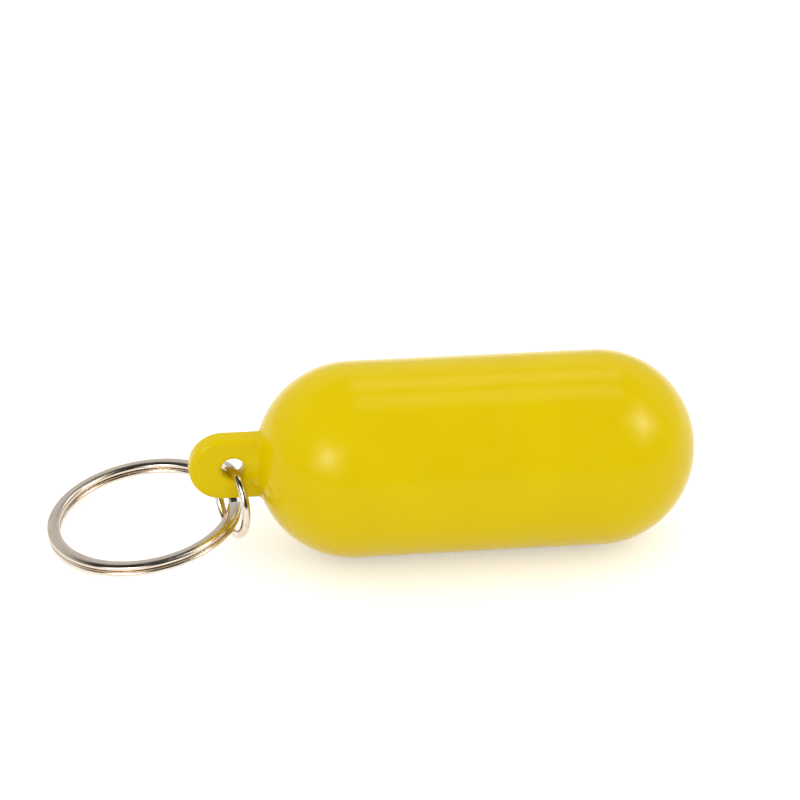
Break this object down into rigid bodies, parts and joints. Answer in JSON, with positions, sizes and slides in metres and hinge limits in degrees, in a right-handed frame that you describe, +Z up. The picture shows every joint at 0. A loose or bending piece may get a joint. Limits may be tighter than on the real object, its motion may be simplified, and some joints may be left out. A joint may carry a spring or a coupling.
{
  "type": "floating keychain",
  "caption": "Sealed moulded capsule float with an eyed tab, a jump ring through the eye and a split key ring hanging on it, lying on its side.",
  "frame": {"origin": "middle of the footprint, on the surface that the keychain lies on", "axes": "+X along the float from the tab to its far end, +Z up with the float on its side and the tab upright, +Y to the back"},
  "size_m": [0.1052, 0.0376, 0.0318],
  "materials": {
    "float_plastic": "smooth gloss, moulded",
    "link_metal": "bright nickel plate",
    "ring_metal": "bright nickel plate"
  },
  "bodies": {
    "float": {"float_body": "float_plastic"},
    "jump_ring": {"jump_ring": "link_metal"},
    "split_ring": {"split_ring": "ring_metal"}
  },
  "joints": [
    {"name": "jump_ring_swing", "type": "hinge", "parent": "float", "child": "jump_ring", "pos_m": [-0.02303, -0.00284, 0.01592], "axis": [0, 1, 0], "range_deg": [-15, 90]},
    {"name": "split_ring_swing", "type": "hinge", "parent": "jump_ring", "child": "split_ring", "pos_m": [-0.02303, -0.00284, 0.00578], "axis": [0.3697, 0.9272, 0.0605], "range_deg": [-95, 60]}
  ]
}
